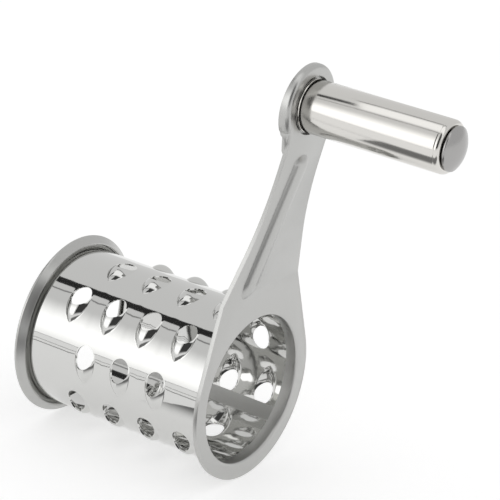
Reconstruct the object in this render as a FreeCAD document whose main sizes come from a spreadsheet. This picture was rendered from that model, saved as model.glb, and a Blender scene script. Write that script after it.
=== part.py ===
"""Drum-and-crank unit of a hand-turned rotary cheese grater.

Sheet steel parts, with plastic bushes and a plastic thrust washer where the hand grip turns.

Frame: X runs along the drum's axis, positive towards the side where the hand grip stands.
Z runs up along the crank. The origin is the centre of the collar's bore, in the plane where the
drum meets the back of the crank's ring. The drum reaches to negative X and ends in a flared rim.
Lengths are in millimetres.
"""
import FreeCAD, Part
import math
import os
import Sketcher

V = FreeCAD.Vector
X_AXIS = V(1, 0, 0)
Y_AXIS = V(0, 1, 0)
Z_AXIS = V(0, 0, 1)
ORIGIN = V(0, 0, 0)
LOOSE = 0.01
# clearance between parts that are pressed or clipped together
FIT = 0.05
TURN_TO_X = FreeCAD.Rotation(V(0, 0, 1), V(1, 0, 0))

doc = FreeCAD.newDocument("RotaryGraterDrum")

# ---------------------------------------------------------------- driving dimensions
SIZES = [
    # drum
    ("drum_diameter", 56.0, "outside of the drum's tube"),
    ("drum_wall", 0.5, "sheet of the drum"),
    ("flare_radius", 1.3, "bend of the drum's flared end"),
    ("drum_length", 78.5, "ring's outer face to the rim's outer plane"),
    ("tooth_rows", 9, "rows round the drum"),
    ("tooth_pitch", 15.0, "between teeth along a row"),
    ("first_row_angle", 9.3, "degrees, from -Y towards +Z"),
    ("first_tooth_place", 11.2, "ring's face to the nearest tooth"),
    ("last_tooth_margin", 17.3, "rim's outer plane to the furthest tooth"),
    ("tooth_radius", 5.45, "outside of a tooth's hood"),
    ("tooth_height", 2.0, "hood's crest above the drum"),
    ("tooth_length", 10.2, "hole's middle to the hood's tail, round the drum"),
    ("hole_width", 7.1, "hole, along the drum"),
    ("hole_length", 8.2, "hole, round the drum"),
    # end rim
    ("rim_overhang", 4.3, "rim beyond the drum, radial"),
    ("rim_ledge", 0.5, "rim's floor inside the drum's bore, radial"),
    ("rim_width", 3.1, "rim's lip, along the axis"),
    ("rim_sheet", 0.8, "sheet of the rim"),
    ("rim_edge", 1.2, "round outer edge of the rim, along the axis"),
    ("lip_gap", 0.2, "drum's flare to the lip's inner face, with the fit, radial"),
    ("crest_width", 0.5, "lip's crest, radial"),
    ("lip_wall", 0.7, "lip's wall beside the fold under it"),
    ("fold_cover", 1.0, "sheet left between that fold and the lip's crest, along the axis"),
    # crank arm
    ("plate", 1.5, "sheet of the crank"),
    ("ring_overhang", 4.3, "crank's ring beyond the drum, radial"),
    ("collar_depth", 4.5, "drawn collar inside the drum, from the ring's face"),
    ("collar_wall", 1.0, "wall of the drawn collar"),
    ("collar_round", 0.9, "round from the ring's face into the collar"),
    ("crank_throw", 106.5, "drum's axis to the grip's axis"),
    ("bend_rise", 5.2, "ring's outer edge up to the lower bend"),
    ("slope_drop", 10.5, "grip's axis down to the upper bend"),
    ("neck_drop", 16.0, "grip's axis down to where the skirt ends"),
    ("knee_reach", 16.0, "length of the curve between the arm's taper and its neck, each side of the knee"),
    ("head_offset", 13.6, "ring's face to the head's face, along X"),
    ("head_land", 3.8, "head's face round the sunk seat, radial"),
    ("head_depth", 4.4, "deepest skirt of the head"),
    ("head_corner", 1.6, "round between the head's face and its skirt"),
    ("hollow_corner", 0.4, "the same round inside the head"),
    ("neck_width", 23.0, "arm just under the head"),
    ("taper_angle", 18.0, "degrees, where the arm's sides leave the ring"),
    ("rib_radius", 4.4, "round of the pressed rib"),
    ("rib_height", 2.2, "rib's crest above the arm's face"),
    ("rib_top_drop", 21.0, "grip's axis down to the rib's upper round"),
    ("rib_top_offset", -0.8, "that round across the arm, along Y"),
    ("rib_heel_rise", 5.5, "lower bend up to the rib's lower round"),
    ("rib_heel_offset", -8.6, "that round across the arm, along Y"),
    ("rib_tip_drop", 3.0, "lower bend down to the rib's point"),
    ("rib_tip_offset", -10.6, "that point across the arm, along Y"),
    ("recess_gap", 0.9, "sunk seat round the grip's end, radial"),
    ("recess_depth", 2.0, "depth of that seat"),
    ("recess_wall", 0.9, "wall round that seat, behind the head's face"),
    ("drain_diameter", 1.8, "hole in the head's skirt"),
    ("drain_depth", 2.9, "head's face back to that hole"),
    ("drain_drop", 7.4, "grip's axis down to that hole"),
    # grip
    ("grip_diameter", 18.0, "outside of the grip's tube"),
    ("grip_wall", 0.8, "wall of the grip's tube"),
    ("grip_length", 54.2, "grip's tube, end to end"),
    ("grip_roll", 1.6, "round of the rolled-in ends"),
    ("grip_lip", 0.9, "flat of each rolled-in end, between its round and its mouth"),
    ("axle_diameter", 6.0, "fixed axle of the grip"),
    ("running_gap", 0.08, "radial clearance of the bushes on the axle"),
    ("dome_diameter", 15.0, "cap at the grip's free end"),
    ("dome_height", 3.1, "whole height of that cap"),
    ("dome_edge", 0.7, "straight edge of that cap"),
    ("thrust_thickness", 0.3, "plastic washer in the head's seat"),
    ("washer_thickness", 1.1, "backing washer under the rivet"),
    ("bush_length", 7.0, "bush inside each end of the grip"),
    ("bush_stand", 0.2, "bush beyond the rolled-in end of the grip"),
    ("bush_ledge", 0.4, "bush's shoulder behind the rolled-in end, radial"),
    ("bush_slope", 1.2, "behind that end to where the bush fills the tube"),
    ("thrust_play", 0.1, "inner bush to the thrust washer"),
    ("end_play", 0.3, "outer bush to the cap"),
    ("rivet_thickness", 1.2, "riveted head of the axle"),
    ("rivet_overhang", 1.6, "that head beyond the axle, radial"),
    ("cap_hold", 1.6, "axle's end inside the cap"),
    ("hole_clearance", 0.03, "radial, round the axle where it is fixed"),
]

# sizes that follow from the ones above
TIED_SIZES = [
    ("rim_diameter", "=drum_diameter + 2 * rim_overhang", "outside of the far rim"),
    ("rim_bore", "=drum_diameter - 2 * drum_wall - 2 * rim_ledge", "opening of the far rim"),
    ("lip_inner", "=rim_overhang - flare_radius - lip_gap", "rim's outer edge in to the lip's inner face"),
    ("lip_crest", "=lip_inner - crest_width", "rim's outer edge in to the lip's crest"),
    ("fold_inner", "=lip_inner - lip_wall", "rim's outer edge in to the fold's inner wall"),
    ("ring_diameter", "=drum_diameter + 2 * ring_overhang", "outside of the crank's ring"),
    ("bend_height", "=ring_diameter / 2 + bend_rise", "drum's axis to the lower bend"),
    ("recess_radius", "=grip_diameter / 2 + recess_gap", "sunk seat round the grip's end"),
    ("head_radius", "=recess_radius + head_land", "outside of the cupped head"),
    ("grip_mouth", "=grip_diameter - 2 * grip_roll - 2 * grip_lip", "opening in each end of the grip"),
]

sheet = doc.addObject("Spreadsheet::Sheet", "Sizes")
for row, (alias, value, meaning) in enumerate(SIZES + TIED_SIZES, start=1):
    sheet.set(f"A{row}", meaning)
    sheet.set(f"B{row}", str(value))
    sheet.setAlias(f"B{row}", alias)
doc.recompute()


def size(alias):
    """One driving dimension, as a plain number."""
    return float(getattr(sheet, alias))


# ---------------------------------------------------------------- shared helpers
def origin_plane(body, role):
    return next(item for item in body.Origin.OriginFeatures if item.Role == role)


def lathe_body(label, corners, place_x, place_z="0"):
    """A body turned about X. Corners are (along X, radius) pairs, written as formulas of the sheet."""
    body = doc.addObject("PartDesign::Body", label)
    body.Label = label
    sketch = body.newObject("Sketcher::SketchObject", label + "_profile")
    sketch.AttachmentSupport = (origin_plane(body, "XZ_Plane"), [""])
    sketch.MapMode = "FlatFace"
    # a round first outline with the right number of corners, which the constraints bring to size
    count = len(corners)
    loop = [V(20 + 9 * math.cos(2 * math.pi * index / count), 20 + 9 * math.sin(2 * math.pi * index / count), 0)
            for index in range(count)]
    for index in range(count):
        sketch.addGeometry(Part.LineSegment(loop[index], loop[(index + 1) % count]), False)
    for index in range(count):
        sketch.addConstraint(Sketcher.Constraint("Coincident", index, 2, (index + 1) % count, 1))
    for index, corner in enumerate(corners):
        for kind, axis_line, formula in zip(("DistanceX", "DistanceY"), (-2, -1), corner):
            if formula == "0":
                sketch.addConstraint(Sketcher.Constraint("PointOnObject", index, 1, axis_line))
            else:
                number = sketch.addConstraint(Sketcher.Constraint(kind, -1, 1, index, 1, 20.0))
                sketch.setExpression(f"Constraints[{number}]", formula)
    doc.recompute()
    turn = body.newObject("PartDesign::Revolution", label + "_turn")
    turn.Profile = sketch
    turn.ReferenceAxis = (sketch, ["H_Axis"])
    turn.Angle = 360
    body.setExpression("Placement.Base.x", place_x)
    body.setExpression("Placement.Base.z", place_z)
    doc.recompute()
    return body, turn


def round_circles(body, feature, roundings):
    """Round circular edges. Each rounding is (along X, edge radius, fillet radius), all in numbers."""
    base = feature
    for number, (along, edge_radius, fillet_radius) in enumerate(roundings):
        names = []
        for index, edge in enumerate(base.Shape.Edges, start=1):
            if not isinstance(edge.Curve, Part.Circle):
                continue
            same_place = abs(edge.Curve.Center.x - along) < 0.02
            same_radius = abs(edge.Curve.Radius - edge_radius) < 0.02
            if same_place and same_radius:
                names.append(f"Edge{index}")
        if not names:
            raise RuntimeError(f"{body.Label}: no edge for rounding {number}")
        fillet = body.newObject("PartDesign::Fillet", f"{body.Label}_round{number}")
        fillet.Base = (base, names)
        fillet.Radius = fillet_radius
        doc.recompute()
        base = fillet
    body.Tip = base


def shaped_piece(label, shape):
    """A piece made from the ring's outer face, which stands one sheet in front of the origin."""
    piece = doc.addObject("Part::Feature", label)
    piece.Label = label
    piece.Shape = shape
    piece.Placement = FreeCAD.Placement(V(size("plate"), 0, 0), FreeCAD.Rotation())
    return piece


def along_x(radius, start, end, y=0.0, z=0.0):
    """A solid cylinder along X."""
    return Part.makeCylinder(radius, end - start, V(start, y, z), X_AXIS)


def turned(points, y=0.0, z=0.0):
    """A solid turned about a line along X from (along X, radius) corners."""
    wire = Part.makePolygon([V(along, y, z + radius) for along, radius in points + points[:1]])
    return Part.Face(wire).revolve(V(0, y, z), X_AXIS, 360)


def circles_at(shape, along, radius):
    """The circular edges about X at a place along X."""
    found = []
    for edge in shape.Edges:
        try:
            curve = edge.Curve
        except TypeError:
            # an edge of no named kind, such as where two curved faces cross
            continue
        if not isinstance(curve, Part.Circle):
            continue
        if abs(curve.Center.x - along) < 1e-3 and abs(curve.Radius - radius) < 1e-3:
            found.append(edge)
    return found


# ---------------------------------------------------------------- drum
drum_radius = size("drum_diameter") / 2
drum_wall = size("drum_wall")
drum_bore = drum_radius - drum_wall
drum_far_end = -size("drum_length") + size("rim_sheet")
drum_near_end = -size("plate")


def drum_tube():
    """The bare tube, flared at the far end to lie in the rim."""
    flange_radius = drum_radius + size("flare_radius") + FIT
    corners = [(drum_far_end, drum_bore), (drum_far_end, flange_radius),
               (drum_far_end + drum_wall, flange_radius), (drum_far_end + drum_wall, drum_radius),
               (drum_near_end, drum_radius), (drum_near_end, drum_bore)]
    tube = turned(corners)
    bend_radius = size("flare_radius")
    tube = tube.makeFillet(bend_radius, circles_at(tube, drum_far_end + drum_wall, drum_radius))
    return tube.makeFillet(bend_radius + drum_wall, circles_at(tube, drum_far_end, drum_bore))


def bullet(radius, length):
    """A pointed round nose: its round end at the origin, its point at -X, made by turning one arc."""
    arc_radius = (radius ** 2 + length ** 2) / (2 * radius)
    middle_angle = math.asin(length / arc_radius) / 2
    middle = V(-arc_radius * math.sin(middle_angle), 0,
               radius - arc_radius + arc_radius * math.cos(middle_angle))
    arc = Part.Arc(V(0, 0, radius), middle, V(-length, 0, 0)).toShape()
    closing = [Part.makeLine(V(-length, 0, 0), ORIGIN), Part.makeLine(ORIGIN, V(0, 0, radius))]
    outline = Part.Wire([arc] + closing)
    return Part.Face(outline).revolve(ORIGIN, X_AXIS, 360)


def tooth_tools():
    """Hood, hollow and long hole of one tooth that stands at the top of the drum, mouth towards +X."""
    radius, wall = size("tooth_radius"), drum_wall
    axis_depth = drum_radius - (radius - size("tooth_height"))
    tail_angle = size("tooth_length") / drum_radius
    tail = V(-drum_radius * math.sin(tail_angle), 0, (drum_radius - 0.2) * math.cos(tail_angle))
    mouth = V(0, 0, axis_depth)
    lean = FreeCAD.Rotation(V(-1, 0, 0), tail - mouth)
    length = (tail - mouth).Length
    outer = bullet(radius, length)
    inner = bullet(radius - wall, length - 1.6 * wall)
    for nose in (outer, inner):
        nose.Placement = FreeCAD.Placement(mouth, lean)
    # the hole runs through sheet and hood alike, so the hood's edge stands up round its rear half
    hole_radius = size("hole_width") / 2
    reach = size("hole_length") / 2 - hole_radius
    ends = [Part.makeCylinder(hole_radius, 10, V(side * reach, 0, drum_radius - 4), Z_AXIS) for side in (-1, 1)]
    middle = Part.makeBox(2 * reach, 2 * hole_radius, 10, V(-reach, -hole_radius, drum_radius - 4))
    return outer, inner, ends[0].fuse([ends[1], middle])


def tooth_places():
    """Angle in degrees and place along X of every tooth: each row is a third of a pitch further on."""
    pitch = size("tooth_pitch")
    rows = int(size("tooth_rows"))
    furthest = size("drum_length") - size("last_tooth_margin") + LOOSE
    places = []
    for row in range(rows):
        angle = size("first_row_angle") + row * 360 / rows
        along = size("first_tooth_place") + (2 - row % 3) * pitch / 3
        while along <= furthest:
            places.append((angle, -along))
            along += pitch
    return places


def on_drum(shape, angle, along):
    """Carry a tool from the drum's top, mouth towards +X, to its place, mouth the way the drum turns."""
    copy = shape.copy()
    # mouth from +X to +Y at the drum's top, then round the axis
    copy.rotate(ORIGIN, Z_AXIS, 90)
    copy.rotate(ORIGIN, X_AXIS, 90 - angle)
    copy.translate(V(along, 0, 0))
    return copy


def drum_shell():
    outer, inner, hole = tooth_tools()
    bore = along_x(drum_bore, -size("drum_length") - 10, 10)
    top_bore = bore.copy()
    top_bore.rotate(ORIGIN, Z_AXIS, 90)
    hood = outer.cut([inner, top_bore, hole])
    hoods, cuts = [], []
    for angle, along in tooth_places():
        hoods.append(on_drum(hood, angle, along))
        cuts.append(on_drum(inner, angle, along))
        cuts.append(on_drum(hole, angle, along))
    shell = drum_tube().cut(cuts).fuse(hoods)
    return shell


drum = shaped_piece("drum_shell", drum_shell())

# ---------------------------------------------------------------- end rim
# A pressed ring at the drum's open end: floor, step, lip that slopes away, rounded outer edge.
rim_body, rim_turn = lathe_body("end_rim", [
    ("0", "Sizes.rim_bore / 2"),
    ("0", "Sizes.rim_diameter / 2 - Sizes.fold_inner"),
    ("Sizes.rim_width - Sizes.fold_cover", "Sizes.rim_diameter / 2 - Sizes.fold_inner"),
    ("Sizes.rim_sheet", "Sizes.rim_diameter / 2 - Sizes.rim_sheet"),
    ("0", "Sizes.rim_diameter / 2 - Sizes.rim_sheet"),
    ("0", "Sizes.rim_diameter / 2"),
    ("Sizes.rim_edge", "Sizes.rim_diameter / 2"),
    ("Sizes.rim_width", "Sizes.rim_diameter / 2 - Sizes.lip_crest"),
    ("Sizes.rim_width", "Sizes.rim_diameter / 2 - Sizes.lip_inner"),
    ("Sizes.rim_sheet", "Sizes.rim_diameter / 2 - Sizes.lip_inner"),
    ("Sizes.rim_sheet", "Sizes.rim_bore / 2"),
], "Sizes.plate - Sizes.drum_length")
rim_radius = size("rim_diameter") / 2
round_circles(rim_body, rim_turn, [
    (size("rim_edge"), rim_radius, 0.3),
    (0, rim_radius, 0.2),
    (size("rim_width"), rim_radius - size("lip_crest"), 0.15),
])

# ---------------------------------------------------------------- crank arm
plate = size("plate")
ring_radius = size("ring_diameter") / 2
throw = size("crank_throw")
head_face = size("head_offset")
head_radius = size("head_radius")
half_neck = size("neck_width") / 2
neck_bottom = throw - size("neck_drop")
slope_top = throw - size("slope_drop")
bend = size("bend_height")
collar_outer = drum_bore - FIT
collar_inner = collar_outer - size("collar_wall")


def slab(side):
    """A wide block whose side view is the given polygon."""
    block = Part.Face(Part.makePolygon(side + side[:1])).extrude(V(0, 4 * ring_radius, 0))
    block.translate(V(0, -2 * ring_radius, 0))
    return block


def arm_web():
    """The bent plate between ring and head, cut to its outline."""
    lean = math.atan2(head_face, slope_top - bend)
    # the plate's back runs parallel to its face, one sheet thickness behind
    low_shift = plate * math.tan(lean / 2)
    side = [V(0, 0, 0), V(0, 0, bend), V(head_face, 0, slope_top), V(head_face, 0, throw),
            V(head_face - plate, 0, throw), V(head_face - plate, 0, slope_top + low_shift),
            V(-plate, 0, bend + low_shift), V(-plate, 0, 0)]

    taper = math.radians(size("taper_angle"))
    leave = V(0, ring_radius * math.cos(taper), ring_radius * math.sin(taper))
    run = (leave.y - half_neck) / math.tan(taper)
    # the straight side meets the neck through an arc tangent to both
    knee = V(0, half_neck, leave.z + run)
    reach = size("knee_reach")
    below = knee + V(0, reach * math.sin(taper), -reach * math.cos(taper))
    above = knee + V(0, 0, reach)
    arc_radius = reach / math.tan(taper / 2)
    centre = V(0, half_neck + arc_radius, above.z)
    middle = centre + V(0, -arc_radius * math.cos(taper / 2), -arc_radius * math.sin(taper / 2))
    right = [V(0, ring_radius, 0), leave, below, middle, above, V(0, half_neck, throw)]
    left = [V(0, -point.y, point.z) for point in right]
    outline = Part.Wire([
        Part.Arc(right[0], V(0, ring_radius * math.cos(taper / 2), ring_radius * math.sin(taper / 2)),
                 right[1]).toShape(),
        Part.makeLine(right[1], right[2]),
        Part.Arc(right[2], right[3], right[4]).toShape(),
        Part.makeLine(right[4], right[5]),
        Part.makeLine(right[5], left[5]),
        Part.makeLine(left[5], left[4]),
        Part.Arc(left[4], left[3], left[2]).toShape(),
        Part.makeLine(left[2], left[1]),
        Part.Arc(left[1], V(0, -ring_radius * math.cos(taper / 2), ring_radius * math.sin(taper / 2)),
                 left[0]).toShape(),
        Part.makeLine(left[0], right[0]),
    ])
    prism = Part.Face(outline).extrude(V(head_face + 2 * plate, 0, 0))
    prism.translate(V(-plate - 1, 0, 0))
    return slab(side).common(prism)


def cup(offset, corner, front, back):
    """The head's outline as a block with a rounded front edge: a disc joined to the neck."""
    radius = head_radius - offset
    disc = along_x(radius, back, front, z=throw)
    disc = disc.makeFillet(corner, circles_at(disc, front, radius))
    half = half_neck - offset
    neck = Part.makeBox(front - back, 2 * half, throw - neck_bottom, V(back, -half, neck_bottom))
    sides = [edge for edge in neck.Edges if abs(edge.CenterOfMass.x - front) < 1e-6
             and abs(abs(edge.CenterOfMass.y) - half) < 1e-6]
    return disc.fuse(neck.makeFillet(corner, sides))


def head_trim():
    """What is cut off behind the skirt: shallow at the top, deep below the grip, a short lug at its end."""
    deep = head_face - size("head_depth")
    top = throw + head_radius
    far_back, above_all, below_all = -9, top + 5, neck_bottom - 0.2
    # each step is the skirt's back edge: how far it stands off the deepest line, and its height
    steps = [(2.0, above_all), (1.8, top), (0, throw - 6.5), (0.3, throw - 8.2), (1.1, throw - 9.0),
             (1.3, throw - 13.6), (2.8, below_all)]
    edge = [V(deep + shallower, 0, height) for shallower, height in steps]
    return slab([V(far_back, 0, above_all)] + edge + [V(far_back, 0, below_all)])


def rib(radius, pointed):
    """The rib's round: a ball at each end of a long roll, and on request a point at the lower bend."""
    sink = size("rib_radius") - size("rib_height")
    lean = math.atan2(head_face, slope_top - bend)

    def on_face(across, height):
        """A point sunk under the sloping face."""
        along = (height - bend) * math.tan(lean)
        return V(along - sink * math.cos(lean), across, height + sink * math.sin(lean))

    top = on_face(size("rib_top_offset"), throw - size("rib_top_drop"))
    heel = on_face(size("rib_heel_offset"), bend + size("rib_heel_rise"))
    tip = on_face(size("rib_tip_offset"), bend - size("rib_tip_drop"))
    run = heel - top
    pieces = [Part.makeSphere(radius, top), Part.makeSphere(radius, heel)]
    if pointed:
        nose = bullet(radius, (tip - heel).Length)
        nose.Placement = FreeCAD.Placement(heel, FreeCAD.Rotation(V(-1, 0, 0), tip - heel))
        pieces.append(nose)
    return Part.makeCylinder(radius, run.Length, top, run).fuse(pieces)


def crank_arm():
    ring = along_x(ring_radius, -plate, 0)
    collar = along_x(collar_outer, -size("collar_depth"), -plate)
    bore = along_x(collar_inner, -30, 10)
    base = ring.fuse([collar, arm_web()]).cut(bore)
    base = base.makeFillet(size("collar_round"), circles_at(base, 0, collar_inner))

    hollow = cup(plate, size("hollow_corner"), head_face - plate, -5)
    skirt = cup(0, size("head_corner"), head_face, 0).cut([hollow, head_trim(), in_front()])
    ridge = rib(size("rib_radius"), True).cut(behind_plate())
    dent = rib(size("rib_radius") - plate, False)

    seat_radius = size("recess_radius")
    seat_depth = size("recess_depth")
    boss = along_x(seat_radius + size("recess_wall"), head_face - plate - seat_depth, head_face - plate, z=throw)
    seat = along_x(seat_radius, head_face - seat_depth, head_face + 1, z=throw)
    axle_hole = along_x(size("axle_diameter") / 2 + size("hole_clearance"), 0, head_face + 1, z=throw)
    drain_place = V(head_face - size("drain_depth"), half_neck - 6, throw - size("drain_drop"))
    drain = Part.makeCylinder(size("drain_diameter") / 2, 12, drain_place, Y_AXIS)
    return base.cut(hollow).fuse([skirt, ridge, boss]).cut([dent, seat, axle_hole, drain]).removeSplitter()


def behind_plate():
    """The room on the drum's side of the sloping plate."""
    lean = math.atan2(head_face, slope_top - bend)
    low_shift = plate * math.tan(lean / 2)
    side = [V(-plate, 0, 0), V(-plate, 0, bend + low_shift), V(head_face - plate, 0, slope_top + low_shift),
            V(head_face - plate, 0, throw), V(-20, 0, throw), V(-20, 0, 0)]
    return slab(side)


def in_front():
    """The room on the hand's side of the sloping plate."""
    return slab([V(0, 0, bend), V(head_face, 0, slope_top), V(head_face + 5, 0, slope_top),
                 V(head_face + 5, 0, bend)])


arm = shaped_piece("crank_arm", crank_arm())

# ---------------------------------------------------------------- grip and its axle
HEAD_FACE = "Sizes.plate + Sizes.head_offset"
SEAT_FLOOR = f"{HEAD_FACE} - Sizes.recess_depth"
grip_start = f"{SEAT_FLOOR} + Sizes.thrust_thickness + Sizes.thrust_play + Sizes.bush_stand"
grip_body, grip_turn = lathe_body("grip_tube", [
    ("0", "Sizes.grip_mouth / 2"),
    ("0", "Sizes.grip_diameter / 2"),
    ("Sizes.grip_length", "Sizes.grip_diameter / 2"),
    ("Sizes.grip_length", "Sizes.grip_mouth / 2"),
    ("Sizes.grip_length - Sizes.grip_wall", "Sizes.grip_mouth / 2"),
    ("Sizes.grip_length - Sizes.grip_wall", "Sizes.grip_diameter / 2 - Sizes.grip_wall"),
    ("Sizes.grip_wall", "Sizes.grip_diameter / 2 - Sizes.grip_wall"),
    ("Sizes.grip_wall", "Sizes.grip_mouth / 2"),
], grip_start, "Sizes.crank_throw")
grip_radius = size("grip_diameter") / 2
grip_wall = size("grip_wall")
grip_length = size("grip_length")
grip_roll = size("grip_roll")
round_circles(grip_body, grip_turn, [
    (0, grip_radius, grip_roll),
    (grip_length, grip_radius, grip_roll),
    (grip_wall, grip_radius - grip_wall, grip_roll - grip_wall),
    (grip_length - grip_wall, grip_radius - grip_wall, grip_roll - grip_wall),
])


# Each bush fills the tube behind its rolled-in end and looks out of the mouth as a short nose.
NOSE = f"Sizes.grip_mouth / 2 - {FIT}"
SHOULDER = f"Sizes.bush_stand + Sizes.grip_wall + {FIT}"
BUSH_OUTER = f"Sizes.grip_diameter / 2 - Sizes.grip_wall - {FIT}"
bush_steps = [
    ("0", "Sizes.axle_diameter / 2 + Sizes.running_gap"),
    ("0", NOSE),
    (SHOULDER, NOSE),
    (SHOULDER, "Sizes.grip_mouth / 2 + Sizes.bush_ledge"),
    ("Sizes.bush_stand + Sizes.grip_wall + Sizes.bush_slope", BUSH_OUTER),
    ("Sizes.bush_length", BUSH_OUTER),
    ("Sizes.bush_length", "Sizes.axle_diameter / 2 + Sizes.running_gap"),
]
mirrored_steps = [("Sizes.bush_length" if along == "0" else "0" if along == "Sizes.bush_length"
                   else f"Sizes.bush_length - ({along})", radius) for along, radius in bush_steps]
lathe_body("inner_bush", bush_steps, f"{grip_start} - Sizes.bush_stand", "Sizes.crank_throw")
lathe_body("outer_bush", mirrored_steps,
           f"{grip_start} + Sizes.grip_length + Sizes.bush_stand - Sizes.bush_length", "Sizes.crank_throw")


def cylinder(name, radius, length, place_x):
    """A Part cylinder along X on the grip's axis, with formulas for its sizes."""
    solid = doc.addObject("Part::Cylinder", name)
    solid.Placement = FreeCAD.Placement(ORIGIN, TURN_TO_X)
    solid.setExpression("Radius", radius)
    solid.setExpression("Height", length)
    solid.setExpression("Placement.Base.x", place_x)
    solid.setExpression("Placement.Base.z", "Sizes.crank_throw")
    return solid


def cut(label, base, tool):
    result = doc.addObject("Part::Cut", label)
    result.Label = label
    result.Base = base
    result.Tool = tool
    return result


FIXED_BORE = "Sizes.axle_diameter / 2 + Sizes.hole_clearance"
BOSS_BACK = f"{HEAD_FACE} - Sizes.plate - Sizes.recess_depth"
CAP_BASE = f"{grip_start} + Sizes.grip_length + Sizes.bush_stand + Sizes.end_play"
RIVET_BACK = f"{BOSS_BACK} - Sizes.washer_thickness - Sizes.rivet_thickness"

cut("thrust_washer",
    cylinder("thrust_disc", "Sizes.grip_mouth / 2", "Sizes.thrust_thickness", SEAT_FLOOR),
    cylinder("thrust_bore", FIXED_BORE, "Sizes.thrust_thickness + 2", f"{SEAT_FLOOR} - 1"))

cut("backing_washer",
    cylinder("backing_disc", "Sizes.axle_diameter", "Sizes.washer_thickness",
             f"{BOSS_BACK} - Sizes.washer_thickness"),
    cylinder("backing_bore", FIXED_BORE, "Sizes.washer_thickness + 2",
             f"{BOSS_BACK} - Sizes.washer_thickness - 1"))

# The axle: a rod with a riveted head behind the crank, pressed into the cap at its free end.
axle = doc.addObject("Part::Fuse", "axle_rod")
axle.Label = "axle_rod"
axle.Base = cylinder("axle_shaft", "Sizes.axle_diameter / 2",
                     f"{CAP_BASE} + Sizes.cap_hold - ({RIVET_BACK})", RIVET_BACK)
axle.Tool = cylinder("axle_head", "Sizes.axle_diameter / 2 + Sizes.rivet_overhang",
                     "Sizes.rivet_thickness", RIVET_BACK)

# The cap: a ball's cap over a short straight edge, bored for the axle.
bulge = "(Sizes.dome_height - Sizes.dome_edge)"
ball_radius = f"((Sizes.dome_diameter / 2) ^ 2 + {bulge} ^ 2) / (2 * {bulge})"
ball = doc.addObject("Part::Sphere", "dome_ball")
ball.setExpression("Radius", ball_radius)
ball.setExpression("Placement.Base.x", f"{CAP_BASE} + Sizes.dome_height - {ball_radius}")
ball.setExpression("Placement.Base.z", "Sizes.crank_throw")
dome = doc.addObject("Part::Common", "dome_blank")
dome.Base = ball
dome.Tool = cylinder("dome_edge_disc", "Sizes.dome_diameter / 2", "Sizes.dome_height + 2", CAP_BASE)
cut("dome_cap", dome, cylinder("dome_bore", FIXED_BORE, "Sizes.cap_hold + 1.05", f"{CAP_BASE} - 1"))

doc.recompute()

# ---------------------------------------------------------------- checks and output
NODES = ["drum_shell", "end_rim", "crank_arm", "axle_rod", "dome_cap", "grip_tube",
         "inner_bush", "outer_bush", "thrust_washer", "backing_washer"]

for item in doc.Objects:
    if "Invalid" in item.State or "Error" in item.State:
        raise RuntimeError(f"{item.Label} failed: {item.State}")

os.makedirs("parts", exist_ok=True)
for node in NODES:
    piece = doc.getObjectsByLabel(node)[0]
    shape = piece.Shape
    if shape.isNull() or not shape.isValid():
        raise RuntimeError(f"{node} has no valid shape")
    if len(shape.Solids) != 1:
        raise RuntimeError(f"{node} is {len(shape.Solids)} solids, not one")
    box = shape.BoundBox
    print(f"{node:16s} volume {shape.Volume:9.1f}  x {box.XMin:7.2f}..{box.XMax:7.2f}"
          f"  y {box.YMin:7.2f}..{box.YMax:7.2f}  z {box.ZMin:7.2f}..{box.ZMax:7.2f}")
    shape.exportStep(f"parts/{node}.step")
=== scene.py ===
"""Looks of the rotary grater's drum-and-crank unit: polished and satin stainless steel."""
import math

import bmesh
import bpy
from mathutils import Matrix, Vector


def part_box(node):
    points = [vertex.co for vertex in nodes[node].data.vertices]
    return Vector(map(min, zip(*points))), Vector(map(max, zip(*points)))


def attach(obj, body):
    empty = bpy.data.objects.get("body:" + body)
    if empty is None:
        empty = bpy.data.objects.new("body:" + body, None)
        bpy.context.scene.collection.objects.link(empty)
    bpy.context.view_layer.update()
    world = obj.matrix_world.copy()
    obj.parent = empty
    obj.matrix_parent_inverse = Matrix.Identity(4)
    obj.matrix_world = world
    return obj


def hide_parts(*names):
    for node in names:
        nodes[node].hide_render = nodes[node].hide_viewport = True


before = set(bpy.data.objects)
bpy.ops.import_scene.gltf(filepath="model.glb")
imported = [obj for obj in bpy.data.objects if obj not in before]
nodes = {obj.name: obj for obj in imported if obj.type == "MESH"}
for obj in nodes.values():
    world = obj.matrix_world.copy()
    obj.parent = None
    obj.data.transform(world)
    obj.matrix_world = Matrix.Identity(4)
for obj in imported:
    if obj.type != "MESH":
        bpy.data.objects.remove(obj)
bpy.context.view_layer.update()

MM = 0.001
scene = bpy.context.scene

# ---------------------------------------------------------------- sizes, in millimetres
DRUM_RADIUS = 28.0
DRUM_WALL = 0.5
DRUM_FLARE = 1.3             # bend of the flared end
TOOTH_ROWS = 9
TOOTH_PITCH = 15.0
FIRST_ROW_ANGLE = 9.3        # degrees, from -Y towards +Z
FIRST_TOOTH = -9.7
LAST_TOOTH = -59.7
HOLE_WIDTH = 7.1             # along X
HOLE_LENGTH = 8.2            # round the drum
HOOD_LENGTH = 10.2           # hole's middle to the hood's tail
HOOD_WIDTH = 8.2
HOOD_HEIGHT = 2.1
CRANK_THROW = 106.5


# ---------------------------------------------------------------- materials
def linear(hex_colour):
    """An sRGB hex colour as linear RGBA."""
    parts = [int(hex_colour[index:index + 2], 16) / 255 for index in (1, 3, 5)]
    return [part / 12.92 if part <= 0.04045 else ((part + 0.055) / 1.055) ** 2.4 for part in parts] + [1.0]


def add(tree, kind, settings=None, links=None):
    """Add one node: settings are attributes or socket values, links are sockets fed by other sockets."""
    node = tree.nodes.new(kind)
    for name, value in (settings or {}).items():
        if isinstance(name, str) and hasattr(node, name) and name not in node.inputs:
            setattr(node, name, value)
        else:
            node.inputs[name].default_value = value
    for name, socket in (links or {}).items():
        tree.links.new(socket, node.inputs[name])
    return node


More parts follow.
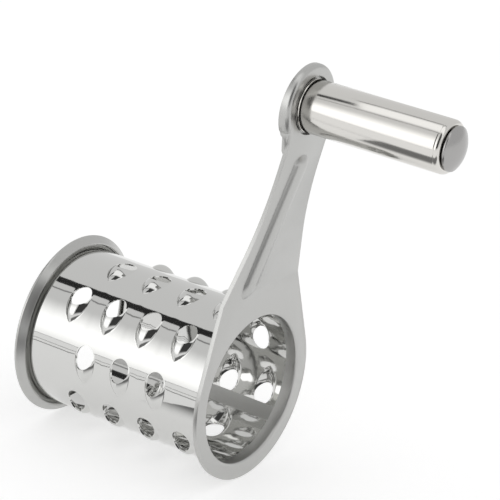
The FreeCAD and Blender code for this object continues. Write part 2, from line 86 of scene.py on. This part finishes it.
def new_material(name):
    material = bpy.data.materials.new(name)
    material.use_nodes = True
    tree = material.node_tree
    tree.nodes.clear()
    return material, tree


def finish(tree, base, metallic, roughness, normal, rough=None):
    """The shader every material ends in: its bump always, and its uneven roughness where it has one."""
    settings = {"Base Color": base, "Metallic": metallic, "Roughness": roughness}
    links = {"Normal": normal}
    if rough:
        links["Roughness"] = rough
    shader = add(tree, "ShaderNodeBsdfPrincipled", settings, links)
    add(tree, "ShaderNodeOutputMaterial", {}, {"Surface": shader.outputs["BSDF"]})


def polished_sheet():
    """Deep-polished stainless sheet: a true mirror with faint waviness left by the rolling."""
    material, tree = new_material("polished_stainless_sheet")
    place = add(tree, "ShaderNodeTexCoord")
    wave = add(tree, "ShaderNodeTexNoise", {"Scale": 1 / (14 * MM), "Detail": 1.0},
               {"Vector": place.outputs["Object"]})
    bump = add(tree, "ShaderNodeBump", {"Strength": 0.04, "Distance": 0.25 * MM},
               {"Height": wave.outputs["Fac"]})
    smear = add(tree, "ShaderNodeTexNoise", {"Scale": 1 / (6 * MM), "Detail": 4.0},
                {"Vector": place.outputs["Object"]})
    rough = add(tree, "ShaderNodeMapRange", {"To Min": 0.035, "To Max": 0.075},
                {"Value": smear.outputs["Fac"]})
    finish(tree, linear("#d0d0ce"), 1.0, 0.05, bump.outputs["Normal"], rough.outputs["Result"])
    return material


def satin_plate():
    """Tumbled stainless plate: even satin with fine marks in every direction."""
    material, tree = new_material("satin_stainless_plate")
    place = add(tree, "ShaderNodeTexCoord")
    grain = add(tree, "ShaderNodeTexNoise", {"Scale": 1 / (0.45 * MM), "Detail": 3.0},
                {"Vector": place.outputs["Object"]})
    cloud = add(tree, "ShaderNodeTexNoise", {"Scale": 1 / (9 * MM), "Detail": 3.0},
                {"Vector": place.outputs["Object"]})
    bump = add(tree, "ShaderNodeBump", {"Strength": 0.06, "Distance": 0.02 * MM},
               {"Height": grain.outputs["Fac"]})
    rough = add(tree, "ShaderNodeMapRange", {"To Min": 0.27, "To Max": 0.36},
                {"Value": cloud.outputs["Fac"]})
    finish(tree, linear("#bcbcba"), 1.0, 0.3, bump.outputs["Normal"], rough.outputs["Result"])
    return material


def polished_tube():
    """Polished stainless tube: a mirror with hair-fine lines along its length."""
    material, tree = new_material("polished_stainless_tube")
    place = add(tree, "ShaderNodeTexCoord")
    squeeze = add(tree, "ShaderNodeMapping", {"Scale": (0.02, 1.0, 1.0)}, {"Vector": place.outputs["Object"]})
    hair = add(tree, "ShaderNodeTexNoise", {"Scale": 1 / (0.35 * MM), "Detail": 2.0},
               {"Vector": squeeze.outputs["Vector"]})
    rough = add(tree, "ShaderNodeMapRange", {"To Min": 0.09, "To Max": 0.17}, {"Value": hair.outputs["Fac"]})
    bump = add(tree, "ShaderNodeBump", {"Strength": 0.05, "Distance": 0.02 * MM},
               {"Height": hair.outputs["Fac"]})
    finish(tree, linear("#d8d6d2"), 1.0, 0.13, bump.outputs["Normal"], rough.outputs["Result"])
    return material


def turned_steel():
    """Faced and turned stainless: fine rings round the grip's axis."""
    material, tree = new_material("turned_stainless")
    place = add(tree, "ShaderNodeTexCoord")
    centre = add(tree, "ShaderNodeMapping", {"Location": (0, 0, -CRANK_THROW * MM), "Scale": (0.0, 1.0, 1.0)},
                 {"Vector": place.outputs["Object"]})
    rings = add(tree, "ShaderNodeTexWave", {"wave_type": "RINGS", "rings_direction": "SPHERICAL",
                                            "Scale": 0.314 / (0.35 * MM), "Distortion": 0.4, "Detail": 1.0},
                {"Vector": centre.outputs["Vector"]})
    bump = add(tree, "ShaderNodeBump", {"Strength": 0.12, "Distance": 0.02 * MM},
               {"Height": rings.outputs["Fac"]})
    finish(tree, linear("#a9a8a7"), 1.0, 0.24, bump.outputs["Normal"])
    return material


def dark_acetal():
    """Moulded black acetal: matt, with a faint orange-peel."""
    material, tree = new_material("moulded_black_acetal")
    place = add(tree, "ShaderNodeTexCoord")
    peel = add(tree, "ShaderNodeTexNoise", {"Scale": 1 / (0.5 * MM), "Detail": 2.0},
               {"Vector": place.outputs["Object"]})
    bump = add(tree, "ShaderNodeBump", {"Strength": 0.1, "Distance": 0.02 * MM},
               {"Height": peel.outputs["Fac"]})
    finish(tree, linear("#191919"), 0.0, 0.5, bump.outputs["Normal"])
    return material


MIRROR = polished_sheet()
SATIN = satin_plate()
TUBE = polished_tube()
TURNED = turned_steel()
ACETAL = dark_acetal()


# ---------------------------------------------------------------- mesh helpers
def placed(form, name, material, body):
    """Turn a finished bmesh into a piece that rides on a body."""
    mesh = bpy.data.meshes.new(name)
    form.to_mesh(mesh)
    form.free()
    mesh.materials.append(material)
    piece = bpy.data.objects.new(name, mesh)
    scene.collection.objects.link(piece)
    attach(piece, body)
    return piece


def piece_from(form, name, material, body, node_name, sharp):
    """A smooth-shaded piece that stands for a CAD node; bends over the sharp angle, in degrees, stay crisp."""
    piece = placed(form, name, material, body)
    mesh = piece.data
    mesh.polygons.foreach_set("use_smooth", [True] * len(mesh.polygons))
    mesh.set_sharp_from_angle(angle=math.radians(sharp))
    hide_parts(node_name)


def spun(form, outline, steps, z=0.0, closed=False):
    """Turn an outline of (along X, radius) points, in millimetres, full round a line along X."""
    chain = [form.verts.new((along * MM, 0, (z + radius) * MM)) for along, radius in outline]
    edges = [form.edges.new(pair) for pair in zip(chain, chain[1:])]
    if closed:
        edges.append(form.edges.new((chain[-1], chain[0])))
    bmesh.ops.spin(form, geom=chain + edges, cent=(0, 0, z * MM), axis=(1, 0, 0), angle=2 * math.pi,
                   steps=steps, use_merge=True)
    bmesh.ops.remove_doubles(form, verts=form.verts, dist=0.002 * MM)


def quarter(centre, radius, start, end, steps):
    """Points of an arc in the outline's plane, angles in degrees from +X towards the outside."""
    turns = [math.radians(start + (end - start) * step / steps) for step in range(steps + 1)]
    return [(centre[0] + radius * math.cos(turn), centre[1] + radius * math.sin(turn)) for turn in turns]


# ---------------------------------------------------------------- drum
CELL_COLUMNS = 12
CELL_ROWS = 16
CELL_ABOVE = 6.4             # from a hole's middle to its cell's upper border
COLUMN = TOOTH_PITCH / CELL_COLUMNS
ROW_ANGLE = 2 * math.pi / TOOTH_ROWS
ROW_STEP = ROW_ANGLE / CELL_ROWS
CELL_HEIGHT = ROW_ANGLE * DRUM_RADIUS
LATTICE_START = FIRST_TOOTH + TOOTH_PITCH / 2
LATTICE_END = LAST_TOOTH - TOOTH_PITCH / 2


def around(vertex, centre_angle):
    """A vertex's place round the drum, in millimetres from a tooth's hole."""
    angle = math.atan2(vertex.co.z, -vertex.co.y) - centre_angle
    angle = (angle + math.pi) % (2 * math.pi) - math.pi
    return angle * DRUM_RADIUS


def hood_half_width(place):
    """The hood's outline: widest beside the hole, then an arc to the pointed tail."""
    widest = -2.0
    half = HOOD_WIDTH / 2
    if place >= widest:
        return half
    run = HOOD_LENGTH + widest
    arc = (half ** 2 + run ** 2) / (2 * half)
    return max(half - arc + math.sqrt(max(arc ** 2 - (widest - place) ** 2, 0)), 0.0)


def hood_rise(along, place):
    """How far the sheet is raised, from the hole's middle along X and round the drum."""
    half = hood_half_width(place)
    if half < 1e-6 or abs(along) >= half:
        return 0.0
    front_place, crest_place = 2.2, -3.2
    if place >= crest_place:
        share = min(max((front_place - place) / (front_place - crest_place), 0), 1)
        crest = share * share * (3 - 2 * share)
    else:
        crest = max(1 - ((crest_place - place) / (HOOD_LENGTH + crest_place)) ** 2, 0)
    return HOOD_HEIGHT * crest * (1 - (along / half) ** 2)


HOOD_RINGS = (1.0, 0.95, 0.84, 0.65, 0.42, 0.2, 0.06, 0.0)    # from the hood's outline to the hole's edge
SHEET_RINGS = (0.62, 0.3, 0.08)                                # from the cell's border to the hood's outline


def tooth_rings(border_along, border_place):
    """The places that one spoke of a cell passes, from its border to the hole's edge."""
    cell_middle = CELL_ABOVE - CELL_HEIGHT / 2
    turn = math.atan2((border_place - cell_middle) / (CELL_HEIGHT / 2), border_along / (TOOTH_PITCH / 2))
    edge = (HOLE_WIDTH / 2 * math.cos(turn), HOLE_LENGTH / 2 * math.sin(turn))
    if turn >= 0:
        outline = (HOOD_WIDTH / 2 * math.cos(turn), (HOLE_LENGTH / 2 + 0.6) * math.sin(turn))
    else:
        place = HOOD_LENGTH * math.sin(turn)
        outline = (math.copysign(hood_half_width(place), math.cos(turn)), place)
    rings = [(outline[0] + (border_along - outline[0]) * share,
              outline[1] + (border_place - outline[1]) * share) for share in SHEET_RINGS]
    return rings + [(edge[0] + (outline[0] - edge[0]) * share, edge[1] + (outline[1] - edge[1]) * share)
                    for share in HOOD_RINGS]


def cut_tooth(form, centre_along, centre_angle):
    """Replace one cell of the drum's sheet by a hole with its raised hood."""
    lowest = CELL_ABOVE - CELL_HEIGHT
    inside = []
    for face in form.faces:
        centre = face.calc_center_median()
        if abs(centre.x / MM - centre_along) > TOOTH_PITCH / 2:
            continue
        angle = (math.atan2(centre.z, -centre.y) - centre_angle + math.pi) % (2 * math.pi) - math.pi
        if lowest < angle * DRUM_RADIUS < CELL_ABOVE:
            inside.append(face)
    bmesh.ops.delete(form, geom=inside, context="FACES")
    loop = [edge for edge in form.edges if edge.is_boundary
            and all(abs(vertex.co.x / MM - centre_along) < TOOTH_PITCH / 2 + 0.01
                    and lowest - 0.01 < around(vertex, centre_angle) < CELL_ABOVE + 0.01
                    for vertex in edge.verts)]
    spokes = {vertex: tooth_rings(vertex.co.x / MM - centre_along, around(vertex, centre_angle))
              for edge in loop for vertex in edge.verts}
    for ring in range(len(SHEET_RINGS) + len(HOOD_RINGS)):
        made = bmesh.ops.extrude_edge_only(form, edges=loop)["geom"]
        next_spokes = {}
        for vertex in (item for item in made if isinstance(item, bmesh.types.BMVert)):
            parent = next(edge.other_vert(vertex) for edge in vertex.link_edges
                          if edge.other_vert(vertex) in spokes)
            next_spokes[vertex] = spokes[parent]
        for vertex, places in next_spokes.items():
            along, place = places[ring]
            radius = (DRUM_RADIUS + hood_rise(along, place)) * MM
            angle = centre_angle + place / DRUM_RADIUS
            vertex.co = ((centre_along + along) * MM, -radius * math.cos(angle), radius * math.sin(angle))
        loop = [item for item in made if isinstance(item, bmesh.types.BMEdge)
                and all(vertex in next_spokes for vertex in item.verts)]
        spokes = next_spokes


def tooth_places():
    """Place along X and angle of every tooth; every third row starts alike."""
    for row in range(TOOTH_ROWS):
        along = FIRST_TOOTH - (2 - row % 3) * TOOTH_PITCH / 3
        while along >= LAST_TOOTH - 0.01:
            yield along, math.radians(FIRST_ROW_ANGLE) + row * ROW_ANGLE
            along -= TOOTH_PITCH


def build_drum():
    """The drum's sheet: a spun tube with a flared end, teeth raised cell by cell, then given its wall."""
    form = bmesh.new()
    lowest, highest = (corner.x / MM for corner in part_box("drum_shell"))
    columns = round((LATTICE_START - LATTICE_END) / COLUMN)
    outline = [(highest, DRUM_RADIUS), (LATTICE_START + COLUMN, DRUM_RADIUS)]
    outline += [(LATTICE_START - column * COLUMN, DRUM_RADIUS) for column in range(columns + 1)]
    outline += [(LATTICE_END - 2.5, DRUM_RADIUS), (LATTICE_END - 4.5, DRUM_RADIUS)]
    outline += quarter((lowest + DRUM_WALL + DRUM_FLARE, DRUM_RADIUS + DRUM_FLARE), DRUM_FLARE, 270, 180, 6)
    spun(form, outline, TOOTH_ROWS * CELL_ROWS)
    # the spin starts at the top, and the cells' borders are where the rows want them
    start = math.radians(FIRST_ROW_ANGLE) + CELL_ABOVE / DRUM_RADIUS - math.pi / 2
    bmesh.ops.rotate(form, verts=form.verts, cent=(0, 0, 0), matrix=Matrix.Rotation(-start, 3, "X"))
    for along, angle in tooth_places():
        cut_tooth(form, along, angle)
    bmesh.ops.recalc_face_normals(form, faces=form.faces)
    # the sheet's wall grows inward from the side that faces out
    middle = min(form.faces, key=lambda face: abs(face.calc_center_median().x - (LATTICE_END - 1) * MM))
    centre = middle.calc_center_median()
    if middle.normal.dot(Vector((0, centre.y, centre.z))) < 0:
        bmesh.ops.reverse_faces(form, faces=form.faces)
    bmesh.ops.solidify(form, geom=form.faces, thickness=DRUM_WALL * MM)
    piece_from(form, "drum", MIRROR, "crank", "drum_shell", 50.0)


LAP_EDGE = math.radians(-144.3)      # the sheet's inner edge, from -Y towards +Z
LAP_END = math.radians(-133.0)
LAP_HEIGHT = 0.35                    # how far the lap stands into the drum
LAP_SINK = 0.02                      # how far it reaches into the sheet behind it
LAP_MARGINS = (3.4, 2.5)             # from the drum's near end and from its far end


def build_lap():
    """The lap inside the drum, where the rolled sheet's edge lies on its other edge."""
    form = bmesh.new()
    lowest, highest = (corner.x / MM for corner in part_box("drum_shell"))
    near, far = highest - LAP_MARGINS[0], lowest + LAP_MARGINS[1]
    bore = DRUM_RADIUS - DRUM_WALL
    outer, inner = bore + LAP_SINK, bore - LAP_HEIGHT
    corners = [(near, outer), (near, inner), (far, inner), (far, outer)]
    chain = [form.verts.new((along * MM, 0, radius * MM)) for along, radius in corners]
    section = form.faces.new(chain)
    to_edge = Matrix.Rotation(math.pi / 2 - LAP_EDGE, 3, "X")
    bmesh.ops.rotate(form, verts=chain, cent=(0, 0, 0), matrix=to_edge)
    bmesh.ops.spin(form, geom=[section] + list(section.edges) + chain, cent=(0, 0, 0), axis=(1, 0, 0),
                   angle=LAP_EDGE - LAP_END, steps=10)
    bmesh.ops.remove_doubles(form, verts=form.verts, dist=0.002 * MM)
    bmesh.ops.recalc_face_normals(form, faces=form.faces)
    placed(form, "drum_lap", SATIN, "crank")


build_drum()
build_lap()

# ---------------------------------------------------------------- end rim
RIM_EDGE = 1.2               # round outer edge, along X
RIM_SHEET = 0.8
LIP_CREST = 2.3              # from the rim's outer edge inward
LIP_INNER = 2.8
RIM_BORE = 5.3


def build_rim():
    """A pressed rim: rounded outer edge, lip that falls away from the drum, groove and floor."""
    form = bmesh.new()
    lowest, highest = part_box("end_rim")
    back, front, radius = lowest.x / MM, highest.x / MM, highest.y / MM
    lip = radius - LIP_CREST
    groove = radius - LIP_INNER
    bore = radius - RIM_BORE
    floor = back + RIM_SHEET
    outline = [(back, groove), (back, radius - 0.5)]
    outline += quarter((back + 0.4, radius - 0.4), 0.4, 180, 90, 4)
    outline += quarter((back + RIM_EDGE - 0.45, radius - 0.45), 0.45, 80, 42, 4)
    outline += quarter((front - 0.35, lip - 0.05), 0.3, 62, -10, 4)[:-1]
    outline += quarter((front - 0.3, groove + 0.25), 0.25, 30, -80, 4)
    outline += [(front - 0.75, groove - 0.02), (floor + 0.5, groove - 0.04)]
    outline += quarter((floor + 0.4, groove - 0.4), 0.4, 90, 180, 4)
    outline += [(floor, bore + 0.25)]
    outline += quarter((floor - 0.2, bore + 0.2), 0.2, 0, -90, 3)
    outline += [(back + 0.2, bore), (back, bore + 0.2)]
    spun(form, outline, 180, closed=True)
    bmesh.ops.recalc_face_normals(form, faces=form.faces)
    piece_from(form, "rim", SATIN, "crank", "end_rim", 55.0)


build_rim()


# ---------------------------------------------------------------- grip, cap and washers
def build_grip():
    """The grip's tube with its ends rolled in."""
    form = bmesh.new()
    lowest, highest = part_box("grip_tube")
    start, end = lowest.x / MM, highest.x / MM
    radius = (highest.z - lowest.z) / 2 / MM
    wall, mouth, roll = 0.8, 6.5, 1.6
    inner_roll = roll - wall
    # the fine line beside each roll: (away from the roll, above the tube)
    crimp = ((0.0, 0.0), (0.06, -0.16), (0.2, -0.2), (0.34, -0.08), (0.5, 0.0))
    outline = [(start, mouth), (start, radius - roll - 0.3)]
    outline += quarter((start + roll, radius - roll), roll, 180, 94, 10)
    outline += [(start + roll + along, radius + dip) for along, dip in crimp]
    outline += [(end - roll - along, radius + dip) for along, dip in reversed(crimp)]
    outline += quarter((end - roll, radius - roll), roll, 86, 0, 10)
    outline += [(end, radius - roll - 0.3), (end, mouth), (end - wall, mouth)]
    outline += quarter((end - roll, radius - roll), inner_roll, 0, 90, 6)
    outline += quarter((start + roll, radius - roll), inner_roll, 90, 180, 6)
    outline += [(start + wall, mouth)]
    spun(form, outline, 128, CRANK_THROW, closed=True)
    bmesh.ops.recalc_face_normals(form, faces=form.faces)
    piece_from(form, "grip", TUBE, "grip", "grip_tube", 30.0)


def build_cap():
    """The grip's cap: a low dome that rolls over into a short straight edge, on a flat back."""
    form = bmesh.new()
    lowest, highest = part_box("dome_cap")
    back, crest = lowest.x / MM, highest.x / MM
    radius = (highest.z - lowest.z) / 2 / MM
    edge, shoulder = 0.7, 0.45
    bulge = crest - back - edge
    ball = (radius ** 2 + bulge ** 2) / (2 * bulge)
    rim_turn = math.degrees(math.asin((radius - shoulder) / ball))
    dome = quarter((crest - ball, 0), ball, 0, rim_turn, 18)
    outline = [(dome[0][0], 0.0)] + dome[1:]
    outline += quarter((back + edge - 0.15, radius - shoulder), shoulder, 70, 90, 3)
    outline += [(back + 0.15, radius), (back, radius - 0.15), (back, 3.0), (back + 0.2, 0.0)]
    spun(form, outline, 96, CRANK_THROW)
    bmesh.ops.recalc_face_normals(form, faces=form.faces)
    piece_from(form, "grip_cap", TURNED, "crank", "dome_cap", 50.0)


build_grip()
build_cap()


# ---------------------------------------------------------------- crank arm
CORNER_WIDTH = 0.2
CORNER_ANGLE = math.radians(28.0)    # bends sharper than this are corners


def build_arm():
    """The arm's own form with its corners broken, as tumbling leaves them."""
    form = bmesh.new()
    form.from_mesh(nodes["crank_arm"].data)
    bmesh.ops.remove_doubles(form, verts=form.verts, dist=0.004 * MM)
    bmesh.ops.dissolve_limit(form, angle_limit=math.radians(0.6), verts=form.verts, edges=form.edges)
    bmesh.ops.recalc_face_normals(form, faces=form.faces)
    corners = [edge for edge in form.edges if edge.is_manifold and edge.calc_face_angle(0) > CORNER_ANGLE]
    bmesh.ops.bevel(form, geom=corners, offset=CORNER_WIDTH * MM, offset_type="WIDTH", affect="EDGES",
                    segments=2, profile=0.5, material=-1, clamp_overlap=True)
    piece_from(form, "arm", SATIN, "crank", "crank_arm", 35.0)


build_arm()


# ---------------------------------------------------------------- carried-over nodes
def dress(node_name, material):
    """Give a node that stays as it is its material."""
    mesh = nodes[node_name].data
    mesh.materials.clear()
    mesh.materials.append(material)


for name in ("axle_rod", "backing_washer"):
    dress(name, TURNED)
for name in ("inner_bush", "outer_bush", "thrust_washer"):
    dress(name, ACETAL)


# ---------------------------------------------------------------- camera
def place_camera():
    """Long lens from the grip's side, a little above, rolled so that the crank leans to the right."""
    lens = bpy.data.cameras.new("camera")
    lens.lens = 194.4
    lens.sensor_width = 36.0
    camera = bpy.data.objects.new("camera", lens)
    scene.collection.objects.link(camera)
    aim = Vector((-4.4, 0, 49.9)) * MM
    azimuth, elevation, distance = math.radians(33.33), math.radians(22.52), 902.8 * MM
    away = Vector((math.sin(azimuth) * math.cos(elevation), -math.cos(azimuth) * math.cos(elevation),
                   math.sin(elevation)))
    camera.location = aim + away * distance
    turn = away.to_track_quat("Z", "Y").to_matrix() @ Matrix.Rotation(math.radians(4.84), 3, "Z")
    camera.rotation_euler = turn.to_euler()
    lens.clip_start = 0.01
    scene.camera = camera


place_camera()


# ---------------------------------------------------------------- floor and light
FLOOR = -0.0325              # metres
FLOOR_REACH = 6
WHITE = 1.0
UNSEEN_LIGHT = 0.85          # the world's level for matt surfaces


def seen_by_eye_or_mirror(tree):
    """1 for rays from the eye, a mirror or through glass, and 0 for matt light."""
    path = add(tree, "ShaderNodeLightPath")
    either = add(tree, "ShaderNodeMath", {"operation": "MAXIMUM"},
                 {0: path.outputs["Is Camera Ray"], 1: path.outputs["Is Glossy Ray"]})
    return add(tree, "ShaderNodeMath", {"operation": "MAXIMUM"},
               {0: either.outputs["Value"], 1: path.outputs["Is Transmission Ray"]}).outputs["Value"]


def flat_stage(name, corners, material):
    """A four-cornered stage piece."""
    form = bmesh.new()
    form.faces.new([form.verts.new(corner) for corner in corners])
    mesh = bpy.data.meshes.new(name)
    form.to_mesh(mesh)
    form.free()
    mesh.materials.append(material)
    flat = bpy.data.objects.new(name, mesh)
    scene.collection.objects.link(flat)
    return flat


def stage_floor():
    """A wide pale floor that reads white and keeps the object's soft shadow."""
    material, tree = new_material("pale_floor")
    matt = add(tree, "ShaderNodeBsdfDiffuse", {"Color": linear("#e4e4e4")})
    seen = seen_by_eye_or_mirror(tree)
    lift = add(tree, "ShaderNodeMath", {"operation": "MULTIPLY", 1: 0.5}, {0: seen})
    glow = add(tree, "ShaderNodeEmission", {}, {"Strength": lift.outputs["Value"]})
    both = add(tree, "ShaderNodeAddShader", {}, {0: matt.outputs["BSDF"], 1: glow.outputs["Emission"]})
    add(tree, "ShaderNodeOutputMaterial", {}, {"Surface": both.outputs["Shader"]})
    corners = [(side * FLOOR_REACH, end * FLOOR_REACH, FLOOR) for side, end in ((-1, -1), (1, -1), (1, 1), (-1, 1))]
    flat_stage("floor", corners, material)


def card_material(name, level, softness):
    """A studio card of one brightness, faded out towards its two long borders."""
    material, tree = new_material(name)
    place = add(tree, "ShaderNodeUVMap")
    across = add(tree, "ShaderNodeSeparateXYZ", {}, {"Vector": place.outputs["UV"]})
    fold = add(tree, "ShaderNodeMath", {"operation": "PINGPONG", 1: 0.5}, {0: across.outputs["Y"]})
    fade = add(tree, "ShaderNodeMapRange", {"interpolation_type": "SMOOTHSTEP", "From Max": 0.5 * softness},
               {"Value": fold.outputs["Value"]})
    glow = add(tree, "ShaderNodeEmission", {"Strength": level})
    clear = add(tree, "ShaderNodeBsdfTransparent")
    blend = add(tree, "ShaderNodeMixShader", {}, {"Fac": fade.outputs["Result"], 1: clear.outputs["BSDF"],
                                                  2: glow.outputs["Emission"]})
    add(tree, "ShaderNodeOutputMaterial", {}, {"Surface": blend.outputs["Shader"]})
    return material


def band_card(name, start, end, distance, level, softness, reach, height=0.0):
    """A long card along X.

    Start and end are degrees round an axis at a height, from straight up towards -Y. Distance is from
    that axis, reach is the card's two ends along X, and all three lengths are in metres.
    """
    material = card_material(name, level, softness)
    edges = []
    middle = math.radians((start + end) / 2)
    for angle in (math.radians(start), math.radians(end)):
        span = distance / math.cos(angle - middle)
        edges.append((-span * math.sin(angle), height + span * math.cos(angle)))
    corners = [(reach[0], *edges[0]), (reach[1], *edges[0]), (reach[1], *edges[1]), (reach[0], *edges[1])]
    hidden_card(name, corners, material)


def hidden_card(name, corners, material):
    """A card that polished metal mirrors, though the camera doesn't see it and it throws no shadow."""
    card = flat_stage(name, corners, material)
    layer = card.data.uv_layers.new(name="across")
    for loop, place in zip(layer.data, ((0, 0), (1, 0), (1, 1), (0, 1))):
        loop.uv = place
    card.visible_camera = False
    card.visible_shadow = False
    card.visible_diffuse = False


def light_world():
    """Even white all round, a little lower for matt surfaces."""
    world = bpy.data.worlds.new("studio")
    scene.world = world
    world.use_nodes = True
    tree = world.node_tree
    tree.nodes.clear()
    seen = seen_by_eye_or_mirror(tree)
    level = add(tree, "ShaderNodeMapRange", {"To Min": UNSEEN_LIGHT, "To Max": WHITE}, {"Value": seen})
    glow = add(tree, "ShaderNodeBackground", {}, {"Strength": level.outputs["Result"]})
    add(tree, "ShaderNodeOutputWorld", {}, {"Surface": glow.outputs["Background"]})


stage_floor()
light_world()

# what the drum mirrors lies on one side of a line along X, and what the grip mirrors on the other
GRIP_HEIGHT = CRANK_THROW * MM
DRUM_SIDE = (-2.5, -0.31)
GRIP_SIDE = (-0.31, 2.5)
band_card("black_flag", 3.5, 13.5, 0.6, 0.03, 0.12, DRUM_SIDE)
band_card("thin_flag", 21.0, 24.0, 0.62, 0.25, 0.7, (-0.62, -0.31))
band_card("grip_upper_line", -13.5, -10.0, 0.5, 0.1, 0.5, GRIP_SIDE, GRIP_HEIGHT)
band_card("grip_lower_line", 26.0, 29.0, 0.5, 0.15, 0.6, GRIP_SIDE, GRIP_HEIGHT)
band_card("grip_light_band", -10.0, 25.5, 0.52, 1.25, 0.4, GRIP_SIDE, GRIP_HEIGHT)
band_card("softbox", 36.0, 108.0, 1.6, 1.75, 1.0, (-2.5, 0.2))
band_card("side_flag", 12.0, 92.0, 1.5, 0.06, 0.4, (0.42, 2.2))
band_card("floor_line_near", 99.2, 100.6, 0.16, 0.2, 0.6, (-2.5, 2.5))
band_card("floor_line_far", 95.8, 96.8, 0.18, 0.3, 0.7, (-2.5, 2.5))
band_card("horizon_line", 90.6, 93.2, 1.1, 0.25, 0.9, (-2.5, 2.5))
LEFT_FLAG = [(-1.6, -0.4, -0.03), (-1.6, 0.5, -0.03), (-1.6, 0.5, 0.5), (-1.6, -0.4, 0.5)]
hidden_card("left_flag", LEFT_FLAG, card_material("left_flag", 0.22, 0.3))
RIM_FLAG = [(-0.05, -0.22, -0.032), (0.3, -0.22, -0.032), (0.3, -0.05, -0.032), (-0.05, -0.05, -0.032)]
hidden_card("rim_flag", RIM_FLAG, card_material("rim_flag", 0.2, 0.5))

scene.view_settings.view_transform = "Standard"
